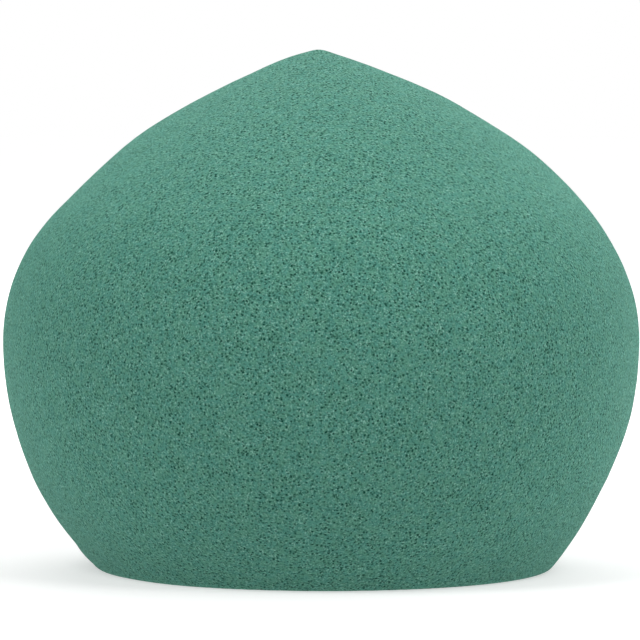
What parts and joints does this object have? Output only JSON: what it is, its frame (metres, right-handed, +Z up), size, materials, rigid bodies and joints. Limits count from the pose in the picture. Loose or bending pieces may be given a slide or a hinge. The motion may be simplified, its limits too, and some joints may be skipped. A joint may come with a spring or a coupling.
{
  "type": "makeup sponge",
  "caption": "Squat drop-shaped makeup sponge of soft, fine-celled foam, with a blunt tip, a full shoulder, a wide belly and a flat foot to stand on.",
  "frame": {"origin": "centre of the flat foot, on the surface that the sponge stands on", "axes": "+Z up along the drop's axis, from the foot to the tip. The body is the same all the way round Z; the picture looks along +Y, with +X to the right"},
  "size_m": [0.05, 0.05, 0.0408],
  "materials": {
    "foam": "matte"
  },
  "bodies": {
    "root": {"foam_body": "foam"}
  },
  "joints": []
}
